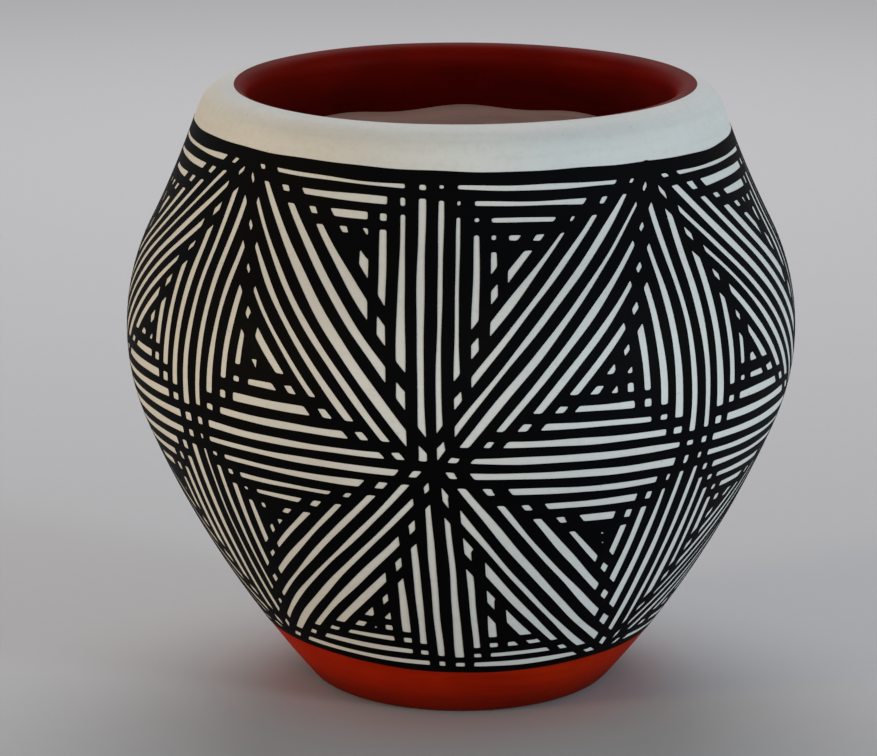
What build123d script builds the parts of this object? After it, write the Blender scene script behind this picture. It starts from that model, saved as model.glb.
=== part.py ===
from build123d import *

import os
from math import acos, asin, atan2, cos, degrees, dist, radians, sin, tan

# A small pueblo pottery jar, built up the way such a jar is made by hand.
# A pat of clay pressed in a shallow dish is the base. Ropes of clay are laid on it, one over
# another, each lapped down inside the one below, then pinched and scraped to one smooth wall
# that swells to a belly and draws in to a rounded rim. A white slip coats the outside, a red
# slip the foot and the inside of the mouth, and black lines frame the painted field.
# The jar stands on the XY plane with its axis on Z. Sizes are in millimetres and degrees.

# Outer shape: foot, lower wall, belly, a shoulder that straightens to a neck, and the rim
foot_radius = 23.0
lower_curve = 157.0
belly_radius = 51.0
belly_height = 55.3
belly_curve = 35.4
shoulder_rise = 37.5
shoulder_curve = 128.0
rim_curve = 5.2
mouth_radius = 34.6

# Clay wall
wall_thickness = 4.0
floor_thickness = 5.0
floor_round = 9.0
lip_radius = 2.2

# Courses of clay: the base pat, the wall coils and the rim coil
base_wall_height = 13.0
wall_coil_count = 5
rim_coil_height = 12.0
lap_angle = 40.0

# Slip coats
slip_thickness = 0.3
foot_slip_height = 9.3
inner_slip_depth = 10.5

# Painted lines
paint_thickness = 0.1
line_width = 1.5
waist_line_drop = 8.5
top_line_drop = 6.2


def on_circle(centre, radius, angle):
    """The point of a circle at an angle above the outward horizontal, as (radius, height)."""
    return (centre[0] + radius * cos(radians(angle)), centre[1] + radius * sin(radians(angle)))


def direction(start, end):
    """The angle of the line from one point to another."""
    return degrees(atan2(end[1] - start[1], end[0] - start[0]))


# The belly circle fixes where the outer wall stands upright
belly_centre = (belly_radius - belly_curve, belly_height)
foot_edge = (foot_radius, 0)

# The lower wall's circle touches the belly circle from outside it and runs through the foot's edge
foot_reach = dist(belly_centre, foot_edge)
lower_reach = lower_curve - belly_curve
lower_cosine = (foot_reach**2 + lower_reach**2 - lower_curve**2) / (2 * foot_reach * lower_reach)
lower_turn = direction(belly_centre, foot_edge) - degrees(acos(lower_cosine)) + 180
lower_centre = on_circle(belly_centre, -lower_reach, lower_turn)

# The rim's round crowns the jar, above the belly by the shoulder's rise
jar_height = belly_height + shoulder_rise
rim_centre = (mouth_radius, jar_height - rim_curve)

# The hollow shoulder's circle touches the belly's circle and the rim's round from outside both
rim_reach = dist(belly_centre, rim_centre)
belly_side = belly_curve + shoulder_curve
rim_side = rim_curve + shoulder_curve
shoulder_cosine = (rim_reach**2 + belly_side**2 - rim_side**2) / (2 * rim_reach * belly_side)
shoulder_lean = direction(belly_centre, rim_centre) - degrees(acos(shoulder_cosine))
shoulder_start = on_circle(belly_centre, belly_curve, shoulder_lean)
shoulder_centre = on_circle(belly_centre, belly_side, shoulder_lean)
neck_lean = direction(rim_centre, shoulder_centre)

# The inside follows the outer wall up past the belly, then runs straight to the rounded lip
inner_inset = slip_thickness + wall_thickness
lip_centre = (mouth_radius, jar_height - slip_thickness - lip_radius)
inner_reach = dist(belly_centre, lip_centre)
inner_turn = degrees(acos((belly_curve - inner_inset + lip_radius) / inner_reach))
inner_lean = direction(belly_centre, lip_centre) - inner_turn

# Heights of the seams between the courses, and of the painted lines
rim_seam_height = jar_height - rim_coil_height
coil_height = (rim_seam_height - base_wall_height) / wall_coil_count
seam_heights = [base_wall_height + coil_height * number for number in range(wall_coil_count + 1)]
waist_line_height = belly_height - waist_line_drop - line_width / 2
top_line_height = jar_height - top_line_drop - line_width
seam_reach = 3 * wall_thickness
outside = 2 * belly_radius
above = jar_height + seam_reach


def lower_wall_angle(height, inset):
    """The angle on the lower wall's circle, drawn in by an inset, at a height."""
    return degrees(asin((height - lower_centre[1]) / (lower_curve - inset)))


def jar_outline(inset, mode=Mode.ADD):
    """The jar's whole outline, as if it were solid, drawn in by an inset all round its wall."""
    foot_angle = lower_wall_angle(0, inset)
    crest = on_circle(rim_centre, rim_curve - inset, 90)
    with BuildLine() as outline:
        CenterArc(lower_centre, lower_curve - inset, foot_angle, lower_turn - foot_angle)
        CenterArc(belly_centre, belly_curve - inset, lower_turn, shoulder_lean - lower_turn)
        CenterArc(shoulder_centre, shoulder_curve + inset, 180 + shoulder_lean, neck_lean - shoulder_lean)
        CenterArc(rim_centre, rim_curve - inset, neck_lean, 90 - neck_lean)
        Polyline(
            crest,
            (0, crest[1]),
            (0, 0),
            on_circle(lower_centre, lower_curve - inset, foot_angle),
        )
    make_face(outline.edges(), mode=mode)


def jar_hollow():
    """The room inside the clay, from the floor up past the lip, taken out of the outline."""
    floor_angle = lower_wall_angle(floor_thickness, inner_inset)
    floor_edge = on_circle(lower_centre, lower_curve - inner_inset, floor_angle)
    with BuildSketch(mode=Mode.PRIVATE) as hollow:
        with BuildLine():
            CenterArc(lower_centre, lower_curve - inner_inset, floor_angle, lower_turn - floor_angle)
            CenterArc(belly_centre, belly_curve - inner_inset, lower_turn, inner_lean - lower_turn)
            Line(
                on_circle(belly_centre, belly_curve - inner_inset, inner_lean),
                on_circle(lip_centre, -lip_radius, inner_lean),
            )
            CenterArc(lip_centre, lip_radius, 90, 90 + inner_lean)
            Polyline(
                on_circle(lip_centre, lip_radius, 90),
                (0, jar_height - slip_thickness),
                (0, floor_thickness),
                floor_edge,
            )
        make_face()
        fillet(hollow.vertices().sort_by_distance((*floor_edge, 0))[0], floor_round)
    add(hollow.sketch, mode=Mode.SUBTRACT)


def clay_section():
    """Half the clay's section, from the axis outward, under its coats of slip."""
    jar_outline(slip_thickness)
    jar_hollow()


def seam(height):
    """The two ends of a bevelled seam, which slopes down into the wall, past both its faces."""
    if height < on_circle(belly_centre, belly_curve, lower_turn)[1]:
        lean = lower_wall_angle(height, slip_thickness)
        start = on_circle(lower_centre, lower_curve - slip_thickness, lean)
    elif height < shoulder_start[1]:
        lean = degrees(asin((height - belly_height) / (belly_curve - slip_thickness)))
        start = on_circle(belly_centre, belly_curve - slip_thickness, lean)
    else:
        lean = degrees(asin((shoulder_centre[1] - height) / (shoulder_curve + slip_thickness)))
        start = on_circle(shoulder_centre, -shoulder_curve - slip_thickness, lean)
    return on_circle(start, -seam_reach, lean + lap_angle), on_circle(start, seam_reach, lean + lap_angle)


def cut_to(*corners):
    """Keeps the part of the section inside a polygon."""
    with BuildLine() as border:
        Polyline(*corners, close=True)
    make_face(border.edges(), mode=Mode.INTERSECT)


def cut_to_band(low, high):
    """Keeps the part of the section between two heights."""
    cut_to((0, low), (outside, low), (outside, high), (0, high))


os.makedirs("parts", exist_ok=True)

# Base pat: the clay pressed into the dish, with the floor and the start of the wall
inner_end, outer_end = seam(seam_heights[0])
with BuildPart() as base_pat:
    with BuildSketch(Plane.XZ):
        clay_section()
        cut_to((0, 0), (outside, 0), outer_end, inner_end, (0, inner_end[1]))
    revolve(axis=Axis.Z)
base_pat.part.label = "base_pat"
export_step(base_pat.part, "parts/base_pat.step")

# Wall coils: each a rope of clay pinched thin, from one seam up to the next
for number in range(wall_coil_count):
    lower_inner, lower_outer = seam(seam_heights[number])
    upper_inner, upper_outer = seam(seam_heights[number + 1])
    with BuildPart() as wall_coil:
        with BuildSketch(Plane.XZ):
            clay_section()
            cut_to(lower_inner, lower_outer, upper_outer, upper_inner)
        revolve(axis=Axis.Z)
    wall_coil.part.label = f"wall_coil_{number + 1}"
    export_step(wall_coil.part, f"parts/wall_coil_{number + 1}.step")

# Rim coil: the last rope, left thicker and rounded over into the lip
inner_end, outer_end = seam(rim_seam_height)
with BuildPart() as rim_coil:
    with BuildSketch(Plane.XZ):
        clay_section()
        cut_to((0, inner_end[1]), inner_end, outer_end, (outside, above), (0, above))
    revolve(axis=Axis.Z)
rim_coil.part.label = "rim_coil"
export_step(rim_coil.part, "parts/rim_coil.step")

# White slip: the coat over the outside, from the foot's band to the crest of the lip
with BuildPart() as white_slip:
    with BuildSketch(Plane.XZ):
        jar_outline(0)
        jar_outline(slip_thickness, mode=Mode.SUBTRACT)
        cut_to(
            (mouth_radius, above),
            rim_centre,
            (0, foot_slip_height),
            (outside, foot_slip_height),
            (outside, above),
        )
    revolve(axis=Axis.Z)
white_slip.part.label = "white_slip"
export_step(white_slip.part, "parts/white_slip.step")

# Red foot slip: the band of red round the foot, below the white
with BuildPart() as red_foot_slip:
    with BuildSketch(Plane.XZ):
        jar_outline(0)
        jar_outline(slip_thickness, mode=Mode.SUBTRACT)
        cut_to_band(0, foot_slip_height)
    revolve(axis=Axis.Z)
red_foot_slip.part.label = "red_foot_slip"
export_step(red_foot_slip.part, "parts/red_foot_slip.step")

# Red inner slip: from the crest over the lip and a finger's breadth down inside the mouth
slip_end_height = jar_height - inner_slip_depth
slip_face_top = on_circle(lip_centre, -lip_radius - slip_thickness, inner_lean)
slip_back_top = on_circle(lip_centre, -lip_radius, inner_lean)
slip_flare = tan(radians(inner_lean))
with BuildPart() as red_inner_slip:
    with BuildSketch(Plane.XZ):
        with BuildLine():
            CenterArc(lip_centre, lip_radius + slip_thickness, 90, 90 + inner_lean)
            CenterArc(lip_centre, lip_radius, 90, 90 + inner_lean)
            Line((mouth_radius, jar_height), (mouth_radius, jar_height - slip_thickness))
            Polyline(
                slip_face_top,
                (slip_face_top[0] + (slip_face_top[1] - slip_end_height) * slip_flare, slip_end_height),
                (slip_back_top[0] + (slip_back_top[1] - slip_end_height) * slip_flare, slip_end_height),
                slip_back_top,
            )
        make_face()
    revolve(axis=Axis.Z)
red_inner_slip.part.label = "red_inner_slip"
export_step(red_inner_slip.part, "parts/red_inner_slip.step")

# Painted lines: three black rings on the white, at the foot, the waist and under the rim
line_heights = {
    "painted_foot_line": foot_slip_height,
    "painted_waist_line": waist_line_height,
    "painted_top_line": top_line_height,
}
for name, height in line_heights.items():
    with BuildPart() as painted_line:
        with BuildSketch(Plane.XZ):
            jar_outline(-paint_thickness)
            jar_outline(0, mode=Mode.SUBTRACT)
            cut_to_band(height, height + line_width)
        revolve(axis=Axis.Z)
    painted_line.part.label = name
    export_step(painted_line.part, f"parts/{name}.step")

print(f"height {jar_height:.2f}, mouth {2 * mouth_radius:.2f}, belly {2 * belly_radius:.2f} mm")
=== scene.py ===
import math
import random

import bpy
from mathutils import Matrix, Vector, noise
from mathutils.geometry import delaunay_2d_cdt


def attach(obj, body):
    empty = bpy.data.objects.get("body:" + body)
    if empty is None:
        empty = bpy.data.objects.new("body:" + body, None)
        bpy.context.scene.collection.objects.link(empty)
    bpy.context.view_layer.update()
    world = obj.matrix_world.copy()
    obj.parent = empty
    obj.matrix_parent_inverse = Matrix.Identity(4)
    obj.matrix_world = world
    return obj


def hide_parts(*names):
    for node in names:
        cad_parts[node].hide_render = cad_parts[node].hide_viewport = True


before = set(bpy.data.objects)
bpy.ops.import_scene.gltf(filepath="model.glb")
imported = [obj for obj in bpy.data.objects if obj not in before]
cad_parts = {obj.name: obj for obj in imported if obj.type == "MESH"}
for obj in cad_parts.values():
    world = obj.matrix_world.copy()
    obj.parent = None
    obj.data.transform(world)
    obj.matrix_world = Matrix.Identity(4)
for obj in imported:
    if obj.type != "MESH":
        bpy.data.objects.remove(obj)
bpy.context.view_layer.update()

# Base pat
# A disc of coarse buff clay, pressed into a shallow dish so that it turns up into the start of the wall.
# Its flat underside stays bare, and it is what the jar stands on. Sizes here and below are in millimetres.
MM = 0.001
foot_radius = 23.0
foot_round = 2.6
lower_curve = 157.0
belly_radius = 51.0
belly_height = 55.3
belly_curve = 35.4
shoulder_rise = 37.5
shoulder_curve = 128.0
rim_curve = 5.2
mouth_radius = 34.6
wall_thickness = 4.0
floor_thickness = 5.0
floor_round = 9.0
lip_radius = 2.2
slip_thickness = 0.3
lap_angle = math.radians(40)
base_wall_height = 13.0
front_dip = 0.65
rim_foot = 97.6
dip_fade = 14.0
smooth_depth = 0.07
smooth_size = 24.0
finger_depth = 0.22
finger_swing = 0.2
finger_width = 16.0
finger_height = 5.0
finger_start = 9.0
finger_fade = 8.0
quarter_turn = math.pi / 2


def polar(centre, radius, angle):
    """The point of a circle at an angle above the outward horizontal, as (radius, height)."""
    return centre[0] + radius * math.cos(angle), centre[1] + radius * math.sin(angle)


def heading(start, end):
    """The angle of the line from one point to another."""
    return math.atan2(end[1] - start[1], end[0] - start[0])


def corner_angle(near, far, across):
    """The angle of a triangle between its sides near and far, with the side across from it."""
    return math.acos((near**2 + far**2 - across**2) / (2 * near * far))


# The circles of the wall: each touches the next, as on the turned outline of the clay
belly_centre = (belly_radius - belly_curve, belly_height)
foot_edge = (foot_radius, 0.0)
lower_reach = lower_curve - belly_curve
lower_corner = corner_angle(math.dist(belly_centre, foot_edge), lower_reach, lower_curve)
lower_turn = heading(belly_centre, foot_edge) - lower_corner + math.pi
lower_centre = polar(belly_centre, -lower_reach, lower_turn)
foot_drop = lower_centre[1] - foot_round
foot_turn = -math.asin(foot_drop / (lower_curve - foot_round))
foot_centre = polar(lower_centre, lower_curve - foot_round, foot_turn)
jar_height = belly_height + shoulder_rise
rim_centre = (mouth_radius, jar_height - rim_curve)
belly_side = belly_curve + shoulder_curve
shoulder_corner = corner_angle(math.dist(belly_centre, rim_centre), belly_side, rim_curve + shoulder_curve)
shoulder_lean = heading(belly_centre, rim_centre) - shoulder_corner
shoulder_centre = polar(belly_centre, belly_side, shoulder_lean)
neck_lean = heading(rim_centre, shoulder_centre)

# The inside: a straight run from the lip to the belly, then the wall's circles again, and the floor
skin_inset = wall_thickness + 2 * slip_thickness
lip_centre = (mouth_radius, jar_height - slip_thickness - lip_radius)
lip_curve = lip_radius + slip_thickness
hollow_curve = belly_curve - skin_inset
inner_reach = math.dist(belly_centre, lip_centre)
inner_lean = heading(belly_centre, lip_centre) - math.acos((hollow_curve + lip_curve) / inner_reach)
inner_run = math.sqrt(inner_reach**2 - (hollow_curve + lip_curve) ** 2)
floor_height = floor_thickness + slip_thickness
floor_reach = lower_curve - skin_inset - floor_round
floor_turn = math.asin((floor_height + floor_round - lower_centre[1]) / floor_reach)
floor_centre = polar(lower_centre, floor_reach, floor_turn)


class Arc:
    """A round stretch of the jar's skin: hollow where its radius is negative."""

    def __init__(self, centre, radius, first, last):
        self.centre, self.radius, self.first = centre, radius, first
        self.length = radius * (last - first)

    def at(self, run):
        lean = self.first + run / self.radius
        return *polar(self.centre, self.radius, lean), lean


class Straight:
    """A straight stretch of the jar's skin, with the lean of its face."""

    def __init__(self, start, lean, length):
        self.start, self.lean, self.length = start, lean, length

    def at(self, run):
        return *polar(self.start, run, self.lean + quarter_turn), self.lean


# The whole skin, from under the foot's edge up the outside, over the lip and down to the floor's middle
turned_over = math.pi + inner_lean
stretches = [
    Arc(foot_centre, foot_round, -quarter_turn, foot_turn),
    Arc(lower_centre, lower_curve, foot_turn, lower_turn),
    Arc(belly_centre, belly_curve, lower_turn, shoulder_lean),
    Arc(shoulder_centre, -shoulder_curve, shoulder_lean, neck_lean),
    Arc(rim_centre, rim_curve, neck_lean, quarter_turn),
    Arc(lip_centre, lip_curve, quarter_turn, turned_over),
    Straight(polar(lip_centre, lip_curve, turned_over), turned_over, inner_run),
    Arc(belly_centre, -hollow_curve, turned_over, math.pi + lower_turn),
    Arc(lower_centre, skin_inset - lower_curve, math.pi + lower_turn, math.pi + floor_turn),
    Arc(floor_centre, -floor_round, math.pi + floor_turn, quarter_turn),
    Straight((floor_centre[0], floor_height), quarter_turn, floor_centre[0]),
]
crest = sum(stretch.length for stretch in stretches[:5])
skin_end = sum(stretch.length for stretch in stretches)


def skin(rise):
    """Radius, height and lean of the jar's skin, a length along it from under the foot."""
    for stretch in stretches:
        if rise <= stretch.length or stretch is stretches[-1]:
            return stretch.at(rise)
        rise -= stretch.length


def unevenness(angle, rise):
    """How far the hand-smoothed skin lies under the true outline: a little outside, more inside."""
    radius, height, _ = skin(rise)
    spot = Vector((radius * math.sin(angle), -radius * math.cos(angle), height))
    outside = smooth_depth + smooth_depth * noise.noise(spot / smooth_size)
    mark = Vector((spot.x / finger_width, spot.y / finger_width, spot.z / finger_height))
    finger_marks = finger_depth + finger_swing * noise.noise(mark)
    inside = min(max((rise - crest - finger_start) / finger_fade, 0), 1)
    return outside + inside * finger_marks


def eased(value, start, end):
    """0 before the start, 1 past the end, and smooth between them."""
    share = min(max((value - start) / (end - start), 0), 1)
    return share * share * (3 - 2 * share)


def rim_dip(angle, rise):
    """How far the hand-built rim dips under level: most at the front, and only above the painted field."""
    front = (1 + math.cos(angle)) / 2
    return front_dip * front * eased(rise, rim_foot, crest) * eased(rise, crest + dip_fade, crest)


def on_skin(angle, rise, depth=0.0):
    """The point at an angle round the jar, a length along its skin and a depth under it."""
    radius, height, lean = skin(rise)
    depth += unevenness(angle, rise)
    radius -= depth * math.cos(lean)
    height -= depth * math.sin(lean) + rim_dip(angle, rise)
    return Vector((radius * math.sin(angle), -radius * math.cos(angle), height)) * MM


def rise_at(height, halvings=40):
    """The length along the outside at which the skin reaches a height."""
    low, high = 0.0, crest
    for _ in range(halvings):
        middle = (low + high) / 2
        if skin(middle)[1] < height:
            low = middle
        else:
            high = middle
    return low


def seam(height, stride=0.2):
    """Where a lapped seam meets the outside and the inside: it slopes down into the wall."""
    outer = rise_at(height)
    radius, height, lean = skin(outer)
    slope = lean + lap_angle
    inner = crest + lip_curve
    while inner < skin_end:
        spot = skin(inner)
        if (spot[0] - radius) * math.sin(slope) < (spot[1] - height) * math.cos(slope):
            inner += stride
        else:
            break
    return outer, inner


def steps(first, last, stride):
    """Evenly spread values from the first to the last, about a stride apart."""
    count = max(1, round(abs(last - first) / stride))
    return [first + (last - first) * number / count for number in range(count + 1)]


course_sides = 240
sharp_edge = math.radians(40)


def turned(name, section, sides=course_sides, poles=False):
    """A closed solid turned round the axis: its section is a loop, or runs from pole to pole."""
    rings = [section(math.tau * side / sides) for side in range(sides)]
    count = len(rings[0])
    if poles:
        points = [rings[0][0], rings[0][-1]] + [spot for ring in rings for spot in ring[1:-1]]
        inner = count - 2
    else:
        points = [spot for ring in rings for spot in ring]
        inner = count
    offset = 2 if poles else 0
    faces = []
    for side in range(sides):
        here = offset + side * inner
        there = offset + (side + 1) % sides * inner
        links = range(inner - 1) if poles else range(inner)
        for link in links:
            after = (link + 1) % inner
            faces.append((here + link, there + link, there + after, here + after))
        if poles:
            faces.append((0, there, here))
            faces.append((1, here + inner - 1, there + inner - 1))
    mesh = bpy.data.meshes.new(name)
    mesh.from_pydata(points, [], faces)
    mesh.update()
    mesh.shade_smooth()
    mesh.set_sharp_from_angle(angle=sharp_edge)
    piece = bpy.data.objects.new(name, mesh)
    bpy.context.scene.collection.objects.link(piece)
    return piece


class Wire:
    """An output socket in a finish's node tree. Sums and products of wires add Math nodes."""

    def __init__(self, tree, socket=None):
        self.tree, self.socket = tree, socket

    def node(self, kind, settings, sockets, output=0):
        """Adds a node: its settings first, then the values or links of its sockets."""
        made = self.tree.nodes.new(kind)
        for name, value in settings.items():
            setattr(made, name, value)
        for name, value in sockets.items():
            if isinstance(value, Wire):
                self.tree.links.new(value.socket, made.inputs[name])
            else:
                made.inputs[name].default_value = value
        return Wire(self.tree, made.outputs[output])

    def maths(self, operation, *values):
        return self.node("ShaderNodeMath", {"operation": operation}, dict(enumerate(values)))

    def __add__(self, other):
        return self.maths("ADD", self, other)

    def __sub__(self, other):
        return self.maths("SUBTRACT", self, other)

    def __rsub__(self, other):
        return self.maths("SUBTRACT", other, self)

    def __mul__(self, other):
        return self.maths("MULTIPLY", self, other)

    def __truediv__(self, other):
        return self.maths("DIVIDE", self, other)

    def __rtruediv__(self, other):
        return self.maths("DIVIDE", other, self)

    def __pow__(self, other):
        return self.maths("POWER", self, other)

    def __rpow__(self, other):
        return self.maths("POWER", other, self)

    __radd__ = __add__
    __rmul__ = __mul__

    def ease(self, low, high):
        """0 below the low value, 1 above the high one, and smooth between them."""
        sockets = {"Value": self, "From Min": low, "From Max": high}
        return self.node("ShaderNodeMapRange", {"interpolation_type": "SMOOTHSTEP"}, sockets)

    def mix(self, first, second):
        """A colour from the first to the second as this wire goes from 0 to 1."""
        return self.node("ShaderNodeMix", {"data_type": "RGBA"}, {0: self, 6: first, 7: second}, 2)

    def cloud(self, size, detail=3.0, roughness=0.5):
        """Soft noise at these coordinates, its patches about a size across, in millimetres."""
        sockets = {"Vector": self, "Scale": 1 / size, "Detail": detail, "Roughness": roughness}
        return self.node("ShaderNodeTexNoise", {}, sockets)

    def specks(self, size, share):
        """1 on scattered specks in cells of a size, in a share of the cells, and 0 between them."""
        core, rim, soft = 0.12, 0.3, 0.02
        sockets = {"Vector": self, "Scale": 1 / size}
        near = self.node("ShaderNodeTexVoronoi", {}, sockets)
        tint = Wire(self.tree, near.socket.node.outputs["Color"])
        chance = self.node("ShaderNodeSeparateColor", {}, {0: tint})
        return (1 - near.ease(core, rim)) * chance.ease(1 - share, 1 - share + soft)

    def wrapped(self, around, upward):
        """Coordinates round the jar and up it, each stretched by its own size, with no seam."""
        axis_gap = 1.0
        x = self.node("ShaderNodeSeparateXYZ", {}, {0: self})
        y = Wire(self.tree, x.socket.node.outputs["Y"])
        z = Wire(self.tree, x.socket.node.outputs["Z"])
        radius = (x * x + y * y) ** 0.5 + axis_gap
        turn = belly_radius / around
        stretched = {0: x / radius * turn, 1: y / radius * turn, 2: z / upward}
        return self.node("ShaderNodeCombineXYZ", {}, stretched)


def finish(name):
    """A new material, its shader node, and the piece's coordinates in millimetres."""
    material = bpy.data.materials.new(name)
    material.use_nodes = True
    tree = material.node_tree
    place = Wire(tree).node("ShaderNodeTexCoord", {}, {}, "Object")
    place = place.node("ShaderNodeVectorMath", {"operation": "SCALE"}, {0: place, "Scale": 1 / MM})
    return material, tree.nodes["Principled BSDF"], place


def feed(shader, name, wire):
    """Links a wire to one of the shader's sockets."""
    wire.tree.links.new(wire.socket, shader.inputs[name])


def bumps(height, depth):
    """A surface normal roughened by a height that goes from 0 to 1, over a depth in millimetres."""
    return height.node("ShaderNodeBump", {}, {"Height": height, "Distance": depth * MM, "Strength": 1.0})


def clay_finish():
    """Bare fired clay: buff and a little pink, with pale temper, dark grit and the marks of scraping."""
    buff = (0.95, 0.78, 0.71, 1)
    pink = (0.84, 0.68, 0.61, 1)
    scraped = (0.66, 0.54, 0.48, 1)
    temper = (0.80, 0.74, 0.68, 1)
    grit = (0.20, 0.16, 0.14, 1)
    material, shader, place = finish("fired_clay")
    blush = place.cloud(22, 4).ease(0.35, 0.68)
    grain = place.cloud(0.7, 4, 0.65)
    scrape = place.wrapped(26, 1.6).cloud(1, 4, 0.6)
    colour = blush.mix(buff, pink)
    colour = (scrape.ease(0.42, 0.66) * 0.6).mix(colour, scraped)
    colour = (place.specks(1.7, 0.2) * 0.6).mix(colour, temper)
    colour = (place.specks(1.5, 0.07) * 0.4).mix(colour, grit)
    feed(shader, "Base Color", colour)
    feed(shader, "Roughness", 0.82 + 0.12 * grain)
    feed(shader, "Normal", bumps(0.65 * scrape + 0.35 * grain, 0.4))
    return material


clay = clay_finish()
coat_depth = 0.08
clay_depth = coat_depth + slip_thickness


def on_clay(angle, rises):
    """Points of the clay under its coats."""
    return [on_skin(angle, rise, clay_depth) for rise in rises]


def dress(piece, material, slot, *nodes):
    """Gives a piece its finish, hangs it on the root, and hides the nodes it stands for; the slot argument is
    not used.
    """
    piece.data.materials.append(material)
    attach(piece, "root")
    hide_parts(*nodes)


base_outer, base_inner = seam(base_wall_height)
base_stride = 1.6
under_stride = 3.0


def base_section(angle):
    """The base's section, from the middle of its underside round the foot to the middle of its floor."""
    outward = Vector((math.sin(angle), -math.cos(angle), 0))
    inset = foot_centre[0] - foot_round / 2
    under = [outward * radius * MM for radius in steps(0, inset, under_stride)]
    side = on_clay(angle, steps(0, base_outer, base_stride))
    floor = on_clay(angle, steps(base_inner, skin_end, base_stride))
    floor[-1].xy = 0, 0
    return under + side + floor


base_pat = turned("base_pat.clay", base_section, poles=True)
dress(base_pat, clay, "fired_clay", "base_pat")

# Wall coils
# Five ropes of the same clay, laid one over another and lapped down inside the course below.
# They are pinched thin and scraped to one wall, so their seams show only faintly on the inside.
wall_coil_count = 5
rim_coil_height = 12.0
coil_height = (jar_height - rim_coil_height - base_wall_height) / wall_coil_count
coil_stride = 1.5


def course_section(lower, upper):
    """The section of a course of clay between two seams."""
    rises = steps(lower[0], upper[0], coil_stride) + steps(upper[1], lower[1], coil_stride)
    return lambda angle: on_clay(angle, rises)


for number in range(wall_coil_count):
    lower = seam(base_wall_height + coil_height * number)
    upper = seam(base_wall_height + coil_height * (number + 1))
    coil = turned(f"wall_coil_{number + 1}.clay", course_section(lower, upper))
    dress(coil, clay, "fired_clay", f"wall_coil_{number + 1}")

# Rim coil
# The last rope of the same clay, left thicker than the wall, drawn in and rounded over into the lip.
# It laps down inside the last wall coil, and the white and the red slips meet on its crest.
rim_stride = 1.0
lip_stride = 0.8
rim_start, rim_stop = seam(jar_height - rim_coil_height)
rim_rises = steps(rim_start, crest, rim_stride) + steps(crest, rim_stop, lip_stride)[1:]
rim_coil = turned("rim_coil.clay", lambda angle: on_clay(angle, rim_rises))
dress(rim_coil, clay, "fired_clay", "rim_coil")

# White slip
# A coat of fine white clay, wiped over the outside from the foot to the crest of the lip in several
# thin layers and rubbed to a dull sheen, with a few specks of grit and faint wiping marks.
white_foot = 13.0
foot_wander = 0.6
foot_tilt = 0.75
lip_drop = 0.2
lip_front = 0.7
lip_tilt = 0.6
lip_wander = 0.1
lip_waver = 0.06
white_rows = 84
coat_sides = 256


def lip_edge(angle):
    """Where the white ends and the red begins, near the crest of the lip."""
    sideways = lip_front * math.cos(angle) - lip_tilt * math.sin(angle)
    wander = lip_wander * math.sin(3 * angle + 1)
    return crest - lip_drop + sideways + wander + lip_waver * math.sin(7 * angle)


def band_edge(angle):
    """Where the white ends above the red foot, on a line that wanders as it goes round."""
    return white_foot + foot_wander * (1 - math.cos(3 * angle)) - foot_tilt * math.sin(angle)


def coat(name, edges, rows):
    """A closed coat of slip on the clay, between a lower and an upper edge that wander as they go round."""
    shares = steps(0, 1, 1 / rows)

    def section(angle):
        low, high = edges(angle)
        face = [on_skin(angle, low + (high - low) * share, coat_depth) for share in shares]
        back = [on_skin(angle, low + (high - low) * share, clay_depth) for share in reversed(shares)]
        return face + back

    return turned(name, section, coat_sides)


def white_edges(angle):
    """The white coat's edges: above the red foot, and on the lip."""
    return band_edge(angle), lip_edge(angle)


def white_finish():
    """White slip: warm white, clouded, finely grained, with wiping marks and a few specks of grit."""
    warm_white = (0.63, 0.63, 0.605, 1)
    thin_white = (0.59, 0.59, 0.565, 1)
    wiped = (0.53, 0.52, 0.49, 1)
    mottled = (0.51, 0.50, 0.465, 1)
    grained = (0.43, 0.42, 0.39, 1)
    grit = (0.26, 0.24, 0.21, 1)
    material, shader, place = finish("white_slip")
    cloudy = place.cloud(18, 4).ease(0.3, 0.72)
    grain = place.cloud(0.55, 4, 0.6)
    wiping = place.wrapped(30, 0.9).cloud(1, 3, 0.55)
    colour = cloudy.mix(warm_white, thin_white)
    colour = (wiping.ease(0.45, 0.8) * 0.35).mix(colour, wiped)
    colour = (place.cloud(1.2, 3, 0.6).ease(0.45, 0.75) * 0.3).mix(colour, mottled)
    colour = (grain.ease(0.55, 0.85) * 0.3).mix(colour, grained)
    colour = (place.specks(1.1, 0.06) * 0.22).mix(colour, grit)
    feed(shader, "Base Color", colour)
    feed(shader, "Roughness", 0.5 + 0.2 * grain)
    feed(shader, "Normal", bumps(0.6 * grain + 0.4 * wiping, 0.07))
    return material


white_slip = coat("white_slip.coat", white_edges, white_rows)
dress(white_slip, white_finish(), "white_slip", "white_slip")

# Red foot slip
# A coat of red ochre slip, brushed on in a band round the foot below the white and rubbed with a stone.
# It turns under the foot's worn edge, where the bare clay begins, and its colour is darkened towards that
# edge with painted shade.
foot_rows = 16
foot_bright = (0.33, 0.013, 0.0, 1)
foot_deep = (0.23, 0.006, 0.0, 1)
foot_worn = (0.37, 0.032, 0.002, 1)


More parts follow.
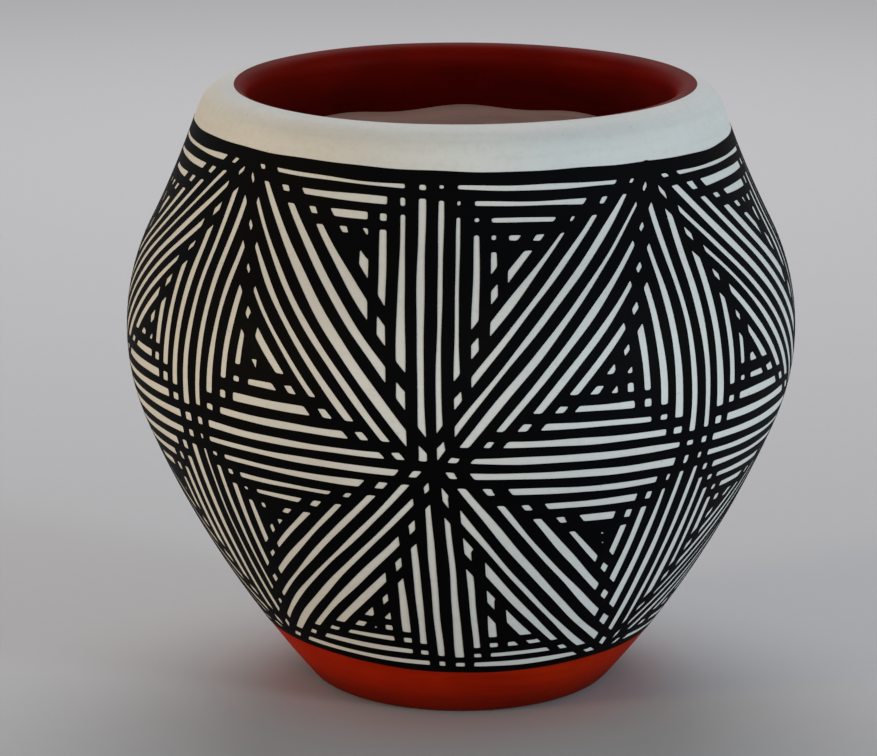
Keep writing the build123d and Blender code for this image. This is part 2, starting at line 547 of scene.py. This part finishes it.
def red_finish(name, bright, deep, worn):
    """Red ochre slip: bright where it is thick, deep where it is stoned hard, with stone marks round the jar.
    Painted shade darkens it towards the edge that the jar stands on, where the foot turns under into shadow."""
    painted_shade = (0.02, 0.001, 0.0005, 1)
    painted_shade_top = 7.5
    painted_shade_share = 0.72
    material, shader, place = finish(name)
    cloudy = place.cloud(9, 4).ease(0.32, 0.7)
    grain = place.cloud(0.5, 4, 0.6)
    strokes = place.wrapped(18, 0.8).cloud(1, 3, 0.55)
    colour = (cloudy * 0.6 + strokes.ease(0.4, 0.75) * 0.4).mix(bright, deep)
    colour = (grain.ease(0.55, 0.85) * 0.3).mix(colour, worn)
    height = place.node("ShaderNodeSeparateXYZ", {}, {0: place}, "Z")
    # Painted shade: the colour darkens over the lowest few millimetres, where the foot turns under into
    # shadow.
    colour = (painted_shade_share - painted_shade_share * height.ease(0, painted_shade_top)).mix(colour, painted_shade)
    feed(shader, "Base Color", colour)
    feed(shader, "Roughness", 0.45 + 0.2 * grain)
    feed(shader, "Normal", bumps(0.5 * grain + 0.5 * strokes, 0.05))
    shader.inputs["Specular IOR Level"].default_value = 0.03
    return material


def foot_edges(angle):
    """The red band's edges: under the foot, and against the white."""
    return 0.0, band_edge(angle)


red_foot = coat("red_foot.coat", foot_edges, foot_rows)
foot_red = red_finish("red_slip", foot_bright, foot_deep, foot_worn)
dress(red_foot, foot_red, "red_slip", "red_foot_slip")

# Red inner slip
# The same red slip, brushed over the lip and a finger's breadth down inside the mouth.
# Its lower edge is the uneven end of the brush strokes, with bare clay below.
inner_slip_depth = 13.6
inner_wander = 0.3
inner_waver = 0.4
inner_rows = 20
# These colours paint the red slip darker inside the mouth than on the foot, as painted shade for the inside
# of the jar.
inner_shaded_bright = (0.145, 0.003, 0.0, 1)
inner_shaded_deep = (0.1, 0.0015, 0.0, 1)
inner_shaded_worn = (0.17, 0.013, 0.001, 1)


def inner_edges(angle):
    """The inner coat's edges: on the lip, and down inside the mouth where the brush lifted."""
    wander = inner_wander * math.sin(5 * angle + 2)
    return lip_edge(angle), crest + inner_slip_depth + wander - inner_waver * math.cos(12 * angle)


red_inner = coat("red_inner.coat", inner_edges, inner_rows)
# A painted-shade copy of the red slip's finish, for the inside of the mouth.
inner_painted_shade_red = red_finish("red_slip_painted_shade_inside", inner_shaded_bright, inner_shaded_deep, inner_shaded_worn)
dress(red_inner, inner_painted_shade_red, "red_slip", "red_inner_slip")

# Black paint
# Boiled plant and mineral black, brushed on the white slip before firing: a line round the top, one round
# the waist and one at the foot, eight columns between them, and fine lines that fill each three-sided field.
paint_depth = 0.02
column_width = 1.75
slant_width = 1.55
top_line_width = 1.9
top_line_rise = 96.28
top_line_tilt = 0.9
waist_line_width = 1.45
waist_line_rise = 54.73
waist_line_tilt = 1.6
foot_line_width = 1.5
foot_line_lap = 0.15
brush_start = 0.8, 1.5
bulge_slide = 0.04
shortest_stroke = 1.6
stroke_step = 1.2
brush = random.Random(8)


def top_line(angle):
    """The rise of the line round the top at an angle in degrees."""
    return top_line_rise - top_line_tilt * math.sin(math.radians(angle))


def waist_line(angle):
    """The rise of the line round the waist."""
    return waist_line_rise - waist_line_tilt * math.sin(math.radians(angle))


def foot_line(angle):
    """The rise of the line at the foot, which covers the white's lower edge."""
    return band_edge(math.radians(angle)) + foot_line_lap


# Each column's angle at the top line, the waist line and the foot line, in degrees, 0 at the front
columns = [
    (-5.6, -4.5, -2.6),
    (40.5, 42.9, 43.5),
    (86.0, 87.0, 87.5),
    (131.0, 131.5, 132.5),
    (175.0, 175.5, 176.5),
    (220.0, 219.5, 219.0),
    (266.0, 265.5, 264.5),
    (312.6, 309.8, 305.4),
]

# How the painter fills the fields left and right of a star: how far the slants above and below bulge away
# from the waist line, how many degrees the upper slants miss the far node and the star by, how far the lines
# along them draw in, and each field's spacing of the lines along its slant, its column and its ring, with the
# ink's share of it
left_habit = {
    "bulges": (0.8, 2.15),
    "misses": (0.4, 2.6),
    "draw_in": -0.05,
    "top": (2.8, 2.75, 2.35, 0.57),
    "upper": (2.55, 2.75, 2.7, 0.58),
    "lower": (2.45, 2.35, 2.45, 0.58),
    "foot": (2.35, 2.5, 2.55, 0.56),
}
right_habit = {
    "bulges": (1.9, 4.0),
    "misses": (0.9, 0.8),
    "draw_in": 0.0,
    "top": (2.4, 2.5, 2.4, 0.63),
    "upper": (2.55, 2.8, 2.5, 0.56),
    "lower": (2.95, 2.7, 2.75, 0.55),
    "foot": (2.25, 2.65, 2.35, 0.55),
}

# How full the brush was for each of the four stars, from the front one round to the right
brush_loads = 1.05, 0.95, 1.0, 0.97


def column(number):
    """A column's three nodes, as places on the wall: an angle in degrees and a rise."""
    turns, number = divmod(number, len(columns))
    top, waist, foot = (angle + 360 * turns for angle in columns[number])
    return (top, top_line(top)), (waist, waist_line(waist)), (foot, foot_line(foot))


def span(start, end, radius=None):
    """The way between two places in millimetres, round the wall and up it."""
    radius = radius or skin((start[1] + end[1]) / 2)[0]
    return math.radians(end[0] - start[0]) * radius, end[1] - start[1]


def aside(place, way, distance):
    """The place that lies a distance to the left of a way that runs through a place."""
    length = math.hypot(*way) or 1.0
    radius = skin(place[1])[0]
    angle = place[0] - math.degrees(distance * way[1] / length / radius)
    return angle, place[1] + distance * way[0] / length


def blended(weights, places):
    """The weighted sum of places."""
    return tuple(sum(weight * place[i] for weight, place in zip(weights, places)) for i in (0, 1))


def halfway(start, end, bulge=0.0):
    """The control point of a curve between two places that bulges to its left, most towards the foot."""
    share = 0.5 - bulge * bulge_slide
    middle = blended((1 - share, share), (start, end))
    return aside(middle, span(start, end), 2 * bulge)


# The painter's hand: how far a stroke sways and swells, each over a long and a short length, how much
# wider a full brush begins and how much it thins, and how the tip rounds the ends
width_spread = 0.95, 1.05
long_sway = 0.1, 8.3
short_sway = 0.04, 2.9
long_swell = 0.07, 6.1
short_swell = 0.035, 1.7
full_brush = 1.12
brush_thins = 0.2
tip_shares = 0.06, 0.2, 0.45
blunt_tip = 0.2


def tip(end, next_place):
    """Extra places close to the end of a stroke, where the brush tip makes it round."""
    return [blended((1 - share, share), (end, next_place)) for share in tip_shares]


def ripple(wave, run, phase):
    """A wave's height some way along a stroke."""
    return wave[0] * math.sin(run / wave[1] + phase)


def stroke(path, width):
    """The outline of a brush stroke along a path, begun with a full brush at its upper end.
    It is round at its ends, and unsteady in its course and width."""
    phases = [brush.uniform(0, math.tau) for _ in range(4)]
    if path[0][1] < path[-1][1]:
        path = path[::-1]
    width *= brush.uniform(*width_spread)
    path = path[:1] + tip(*path[:2]) + path[1:-1] + tip(*path[:-3:-1])[::-1] + path[-1:]
    runs = [0.0]
    for before, after in zip(path, path[1:]):
        runs.append(runs[-1] + math.hypot(*span(before, after)))
    left, right = [], []
    for number, (place, run) in enumerate(zip(path, runs)):
        way = span(path[max(number - 1, 0)], path[min(number + 1, len(path) - 1)])
        sway = ripple(long_sway, run, phases[0]) + ripple(short_sway, run, phases[1])
        swell = full_brush - brush_thins * run / runs[-1]
        swell += ripple(long_swell, run, phases[2]) + ripple(short_swell, run, phases[3])
        inward = min(2 * min(run, runs[-1] - run) / width, 1)
        half = width / 2 * swell * max(math.sqrt(inward * (2 - inward)), blunt_tip)
        left.append(aside(place, way, sway + half))
        right.append(aside(place, way, sway - half))
    return right + left[::-1]


def curve(start, end, bulge=0.0):
    """Places along a gentle curve between two nodes."""
    middle = halfway(start, end, bulge)
    shares = steps(0, 1, stroke_step / math.hypot(*span(start, end)))
    return [blended(((1 - t) ** 2, 2 * t * (1 - t), t * t), (start, middle, end)) for t in shares]


def turn_area(first, second, third):
    """Twice the area of a triangle of places, positive where they go round to the left."""
    return (second[0] - first[0]) * (third[1] - first[1]) - (second[1] - first[1]) * (third[0] - first[0])


# The most lines along a side, how far past a slant's ends a meeting is looked for, and a slant's usual length
most_lines = 9
overshoot = 0.15
slant_length = 45.0


class Field:
    """A three-sided field: a square corner, its neighbours across and upright, and a slanted side.
    The slanted side may miss its corners and bulge, and the lines along it may draw in upwards."""

    def __init__(self, square, across, upright, slant, bulge, draw_in=0.0):
        self.corners = square, across, upright
        self.posts = square, *slant
        self.controls = halfway(square, slant[0]), halfway(*slant, bulge), halfway(slant[1], square)
        self.radius = skin((square[1] + across[1] + upright[1]) / 3)[0]
        self.bow = 2 * bulge / self.distance(0)
        self.draw_in = draw_in

    def distance(self, number):
        """How far a corner stands to the left of the side across from it, in millimetres."""
        corner, first, second = (self.corners[(number + turn) % 3] for turn in range(3))
        side, way = span(first, second, self.radius), span(first, corner, self.radius)
        return (side[0] * way[1] - side[1] * way[0]) / math.hypot(*side)

    def beside(self, share, rise):
        """The place at a rise on a line that keeps a share of the field's width from the column."""
        square, across, upright = self.corners
        along = (rise - square[1]) / (upright[1] - square[1])
        start = square[0] + along * (upright[0] - square[0])
        return start + share * (across[0] - square[0]) * self.radius / skin(rise)[0], rise

    def share(self, number, place):
        """How far a place lies from the column (1) or from the ring (2), as a share of the field."""
        square, across, upright = self.corners
        if number == 1:
            beside = self.beside(0, place[1])[0], self.beside(1, place[1])[0]
            return (place[0] - beside[0]) / (beside[1] - beside[0])
        return turn_area(place, square, across) / turn_area(upright, square, across)

    def on_slant(self, number, along):
        """The place some way, from 0 to 1, along a line that follows the slanted side."""
        a = number * self.gaps[0] * (1 + self.draw_in * (1 - 2 * along))
        b, c = (1 - a) * (1 - along), (1 - a) * along
        weights = a * a, b * b, c * c, 2 * a * b, 2 * b * c, 2 * c * a
        return blended(weights, self.posts + self.controls)

    def meeting(self, number, corner, line, halvings=24):
        """How far along a slanted line it meets a line along the side across from a corner."""
        low, high = -overshoot, 1 + overshoot
        for _ in range(halvings):
            middle = (low + high) / 2
            past = self.share(corner, self.on_slant(number, middle)) > line * self.gaps[corner]
            if past == (corner == 2):
                high = middle
            else:
                low = middle
        return low

    def slanted(self, number):
        """The path of a line along the slanted side, between the straight lines before it."""
        first, last = self.meeting(number, 2, number - 1), self.meeting(number, 1, number - 1)
        shares = steps(first, max(first, last), stroke_step / slant_length)
        return [self.on_slant(number, along) for along in shares]

    def straight(self, corner, number):
        """The path of a line along one of the square sides, as far as the slanted line before it."""
        other = 3 - corner
        shares = [1.0, 0.0, 0.0]
        shares[corner] = number * self.gaps[corner]
        shares[other] = (number - 1) * self.gaps[other]
        shares[0] -= shares[1] + shares[2]
        start = self.beside(shares[1], blended(shares, self.corners)[1])
        end = self.on_slant(number - 1, self.meeting(number - 1, corner, number))
        if self.share(other, end) < shares[other]:
            return []
        if corner == 1:
            return [self.beside(shares[1], rise) for rise in steps(start[1], end[1], stroke_step)]
        length = math.hypot(*span(start, end))
        return [blended((1 - along, along), (start, end)) for along in steps(0, 1, stroke_step / length)]

    def strokes(self, spacing, load):
        """The fine lines along the three sides: their spacings in millimetres, then the ink's share of them.
        The brush's load makes them wider or finer."""
        *spacing, ink = spacing
        room = abs(self.distance(0)) * (1 - self.bow), abs(self.distance(1)), abs(self.distance(2))
        self.gaps = [gap / length for gap, length in zip(spacing, room)]
        made = []
        for corner in (2, 1, 0):
            for number in range(1, most_lines + 1):
                path = self.straight(corner, number) if corner else self.slanted(number)
                if len(path) < 2 or math.hypot(*span(path[0], path[-1])) < shortest_stroke:
                    break
                made.append(stroke(path, spacing[corner] * ink * load))
        return made


def column_strokes(number):
    """The strokes of a column, and of the fields on both sides of it where stars stand on its waist."""
    top, waist, foot = column(number)
    above = top[0], top[1] + brush.uniform(*brush_start)
    made = [stroke([above] + curve(top, waist), column_width), stroke(curve(waist, foot), column_width)]
    if number % 2:
        return made
    load = brush_loads[number // 2]
    for side, habit in ((-1, left_habit), (1, right_habit)):
        far_top, far_waist, far_foot = column(number + side)
        up, down = -side * habit["bulges"][0], side * habit["bulges"][1]
        by_node, by_star = side * habit["misses"][0], side * habit["misses"][1]
        upper = (far_top[0] - by_node, far_top[1]), (waist[0] + by_star, waist[1])
        lower = waist, far_foot
        made.append(stroke(curve(*upper, up), slant_width))
        made.append(stroke(curve(*lower, -down), slant_width))
        made += Field(top, far_top, waist, upper, up, habit["draw_in"]).strokes(habit["top"], load)
        made += Field(far_waist, waist, far_top, upper[::-1], -up).strokes(habit["upper"], load)
        made += Field(far_waist, waist, far_foot, lower, -down).strokes(habit["lower"], load)
        made += Field(foot, far_foot, waist, lower[::-1], down).strokes(habit["foot"], load)
    return made


def shifted(outlines, turn):
    """Outlines moved round the jar by a number of degrees."""
    return [[(angle + turn, rise) for angle, rise in outline] for outline in outlines]


# One full turn of strokes, and a copy of it on each side, so that the cut at the back closes
turn_strokes = []
for number in range(len(columns)):
    turn_strokes += column_strokes(number)
seam_angle = 198.0
seam_margin = 12.0
ring_lap = 4.0
ring_stride = 1.5
ring_angles = steps(-180 - ring_lap, 180 + ring_lap, ring_stride)
rings = ((top_line, top_line_width), (waist_line, waist_line_width), (foot_line, foot_line_width))
for line, width in rings:
    turn_strokes.append(stroke([(angle, line(angle)) for angle in ring_angles], width))
outlines = []
for turn in (-360, 0, 360):
    for outline in shifted(turn_strokes, turn):
        angles = [angle for angle, rise in outline]
        if max(angles) > seam_angle - 360 - seam_margin and min(angles) < seam_angle + seam_margin:
            outlines.append(outline)

# The strokes are joined into one film on the unrolled wall. The wet paint draws its corners round, and the
# film is then cut at the back and wrapped round the jar.
flat_radius = 48.0
touching = 1e-5
draw_step = 0.2
draw_rounds = 2
fewest_points = 8
least_bend = 0.07
longest_side = 1.6
smallest_gap = 0.06
on_cut_within = 0.001


def joined(loops, cuts=()):
    """Triangles of the unrolled wall, and how many of the loops lie over each."""
    points, faces, edges = [], [], []
    for loop in loops:
        faces.append(list(range(len(points), len(points) + len(loop))))
        points += loop
    for cut in cuts:
        edges.append((len(points), len(points) + 1))
        points += cut
    spots, _, triangles, _, _, owners = delaunay_2d_cdt(points, edges, faces, 0, touching)
    return spots, [(tuple(triangle), len(owner)) for triangle, owner in zip(triangles, owners)]


def borders(triangles):
    """The sides of triangles that no other triangle shares."""
    sides = {(triangle[i - 1], triangle[i]) for triangle in triangles for i in range(3)}
    return sorted(side for side in sides if side[::-1] not in sides)


def rings_of(sides, spots):
    """The closed rings of points along the borders of a film."""
    after = {}
    for start, end in sides:
        after.setdefault(start, []).append(end)
    while after:
        corner = next(iter(after))
        ring = []
        while corner in after:
            ring.append(spots[corner])
            follow = after[corner].pop()
            if not after[corner]:
                del after[corner]
            corner = follow
        yield ring


def drawn_round(ring):
    """A ring with its corners drawn round, as a list of points that goes round to the left."""
    lengths = [(end - start).length for start, end in zip(ring, ring[1:] + ring[:1])]
    count = max(fewest_points, round(sum(lengths) / draw_step))
    stride = sum(lengths) / count
    points, run, number = [], 0.0, 0
    for step in range(count):
        while run + lengths[number] < step * stride and number < len(ring) - 1:
            run += lengths[number]
            number += 1
        share = (step * stride - run) / max(lengths[number], touching)
        points.append(ring[number].lerp(ring[(number + 1) % len(ring)], min(share, 1)))
    for _ in range(draw_rounds):
        points = [(points[i - 1] + 2 * points[i] + points[(i + 1) % count]) / 4 for i in range(count)]
    kept = [points[0]]
    for spot, next_spot in zip(points[1:], points[2:]):
        bend = (spot - kept[-1]).angle_signed(next_spot - spot, 0)
        if abs(bend) > least_bend or (spot - kept[-1]).length > longest_side:
            kept.append(spot)
    area = sum(a.cross(b) for a, b in zip(kept, kept[1:] + kept[:1])) / 2
    if len(kept) < 3 or abs(area) < smallest_gap:
        return None
    return kept if area > 0 else kept[::-1]


def unrolled(place):
    """A place on the wall as a point of the unrolled wall."""
    return Vector((math.radians(place[0]) * flat_radius, place[1]))


spots, triangles = joined([[unrolled(place) for place in outline] for outline in outlines])
inked = [triangle for triangle, owners in triangles if owners]
loops = [drawn_round(ring) for ring in rings_of(borders(inked), spots)]
cut_places = [math.radians(angle) * flat_radius for angle in (seam_angle - 360, seam_angle)]
cuts = [[Vector((across, 0)), Vector((across, crest))] for across in cut_places]
spots, triangles = joined([loop for loop in loops if loop], cuts)
film = []
for triangle, owners in triangles:
    middle = sum(spots[corner].x for corner in triangle) / 3
    if owners % 2 and cut_places[0] < middle < cut_places[1]:
        film.append(triangle)

# The two sides of the cut meet at the back, so each corner on one side becomes its partner on the other
cut_sides = []
film_corners = {corner for triangle in film for corner in triangle}
for across in cut_places:
    on_cut = [corner for corner in film_corners if abs(spots[corner].x - across) < on_cut_within]
    cut_sides.append(sorted(on_cut, key=lambda corner: spots[corner].y))
partners = dict(zip(cut_sides[1], cut_sides[0]))
film = [tuple(partners.get(corner, corner) for corner in triangle) for triangle in film]
used = sorted({corner for triangle in film for corner in triangle})
place_of = {corner: number for number, corner in enumerate(used)}
tops, backs = [], []
for corner in used:
    angle, rise = spots[corner].x / flat_radius, spots[corner].y
    tops.append(on_skin(angle, rise, paint_depth))
    backs.append(on_skin(angle, rise, coat_depth + paint_depth))
film = [tuple(place_of[corner] for corner in triangle) for triangle in film]
count = len(used)
walls = [(b, a, a + count, b + count) for a, b in borders(film)]
under = [tuple(corner + count for corner in reversed(triangle)) for triangle in film]
mesh = bpy.data.meshes.new("black_paint.film")
mesh.from_pydata(tops + backs, [], film + under + walls)
mesh.update()
paint = bpy.data.objects.new("black_paint.film", mesh)
bpy.context.scene.collection.objects.link(paint)


def paint_finish():
    """Black paint: dull, a little brown where it lies thin, with fine grain."""
    thick_black = (0.0008, 0.0009, 0.0014, 1)
    thin_black = (0.0018, 0.0016, 0.0016, 1)
    grained = (0.006, 0.006, 0.006, 1)
    material, shader, place = finish("black_paint")
    thin = place.cloud(6, 4).ease(0.45, 0.8)
    grain = place.cloud(0.4, 4, 0.65)
    colour = thin.mix(thick_black, thin_black)
    colour = (grain.ease(0.6, 0.9) * 0.4).mix(colour, grained)
    feed(shader, "Base Color", colour)
    feed(shader, "Roughness", 0.5 + 0.2 * grain)
    feed(shader, "Normal", bumps(grain, 0.04))
    shader.inputs["Specular IOR Level"].default_value = 0.03
    return material


dress(paint, paint_finish(), "black_paint", "painted_foot_line", "painted_waist_line", "painted_top_line")

# Floor
# A plain pale tabletop with a faint grain, for the jar's shadow to fall on.
# Far from the jar it is seen to run out into a backdrop of a like pale grey.
table_reach = 1400.0
floor_fade = 600.0, 1050.0
floor_pale = (0.635, 0.625, 0.64, 1)
floor_paler = (0.655, 0.645, 0.66, 1)
backdrop_grey = (0.46, 0.46, 0.47, 1)


def seeing(tree):
    """1 for the rays that show the backdrop: the camera's, and those that glossy or clear things send on."""
    camera_ray = Wire(tree).node("ShaderNodeLightPath", {}, {}, "Is Camera Ray")
    rays = camera_ray.socket.node.outputs
    return camera_ray + Wire(tree, rays["Is Glossy Ray"]) + Wire(tree, rays["Is Transmission Ray"])


floor_mesh = bpy.data.meshes.new("floor")
floor_corners = [Vector((x, y, 0)) * table_reach * MM for x, y in ((-1, -1), (1, -1), (1, 1), (-1, 1))]
floor_mesh.from_pydata(floor_corners, [], [(0, 1, 2, 3)])
floor = bpy.data.objects.new("floor", floor_mesh)
bpy.context.scene.collection.objects.link(floor)
floor_material, floor_shader, floor_place = finish("pale_floor")
floor_grain = floor_place.cloud(3, 4)
feed(floor_shader, "Base Color", floor_grain.mix(floor_pale, floor_paler))
floor_shader.inputs["Roughness"].default_value = 0.85
distance = floor_place.node("ShaderNodeVectorMath", {"operation": "LENGTH"}, {0: floor_place}, "Value")
far_floor = floor_place.node("ShaderNodeEmission", {}, {"Color": backdrop_grey, "Strength": 1.0})
near_floor = Wire(floor_place.tree, floor_shader.outputs[0])
fading = seeing(floor_place.tree) * distance.ease(*floor_fade)
shown_floor = fading.node("ShaderNodeMixShader", {}, {0: fading, 1: near_floor, 2: far_floor})
feed(floor_material.node_tree.nodes["Material Output"], "Surface", shown_floor)
floor.data.materials.append(floor_material)

# Light
# Three soft square lamps stand low in front of the jar, the left one warm and the right one cool.
# A fourth hangs over the back, and a pale sky fills the shadows. Lamps are placed in metres.
lamp_size = 0.36
back_lamp_size = 0.6
sky_blue = (0.88, 0.94, 1.0, 1)
sky_strength = 0.225


def lamp(name, place, size, watts, colour):
    """A soft square lamp that faces the jar's middle."""
    light = bpy.data.lights.new(name, "AREA")
    light.shape = "SQUARE"
    light.size = size
    light.energy = watts
    light.color = colour
    holder = bpy.data.objects.new(name, light)
    holder.location = Vector(place)
    aim = Vector((0, 0, jar_height / 2 * MM)) - holder.location
    holder.rotation_euler = aim.to_track_quat("-Z", "Y").to_euler()
    bpy.context.scene.collection.objects.link(holder)


lamp("warm_lamp", (-2.0, -0.75, 0.2), lamp_size, 22.0, (1.0, 0.74, 0.4))
lamp("cool_lamp", (1.9, -1.0, 0.2), lamp_size, 24.5, (0.76, 0.92, 1.0))
lamp("low_lamp", (0.1, -2.4, 0.2), lamp_size, 12.0, (0.94, 0.985, 1.0))
lamp("back_lamp", (0.0, 0.5, 0.65), back_lamp_size, 3.1, (1.0, 0.99, 0.99))
world = bpy.data.worlds.new("studio")
world.use_nodes = True
bpy.context.scene.world = world
seen = seeing(world.node_tree)
sky = seen.node("ShaderNodeBackground", {}, {"Color": sky_blue, "Strength": sky_strength})
backdrop = seen.node("ShaderNodeBackground", {}, {"Color": backdrop_grey, "Strength": 1.0})
shown = seen.node("ShaderNodeMixShader", {}, {0: seen, 1: sky, 2: backdrop})
feed(world.node_tree.nodes["World Output"], "Surface", shown)

# Camera
# A long lens a little above the jar, as the photograph was taken, with the jar right of the middle.
# Pixels are those of the photograph, and the pitch is in radians below level.
picture_width = 877
focal_pixels = 3426.5
axis_pixel = 461.0
camera_distance = 509.44
camera_height = 178.97
camera_pitch = 0.254856
camera_data = bpy.data.cameras.new("camera")
camera_data.sensor_width = 36.0
camera_data.lens = camera_data.sensor_width * focal_pixels / picture_width
camera_data.shift_x = (picture_width / 2 - axis_pixel) / picture_width
camera = bpy.data.objects.new("camera", camera_data)
camera.location = Vector((0, -camera_distance, camera_height)) * MM
camera.rotation_euler = (quarter_turn - camera_pitch, 0, 0)
bpy.context.scene.collection.objects.link(camera)
bpy.context.scene.camera = camera
bpy.context.scene.view_settings.view_transform = "Standard"
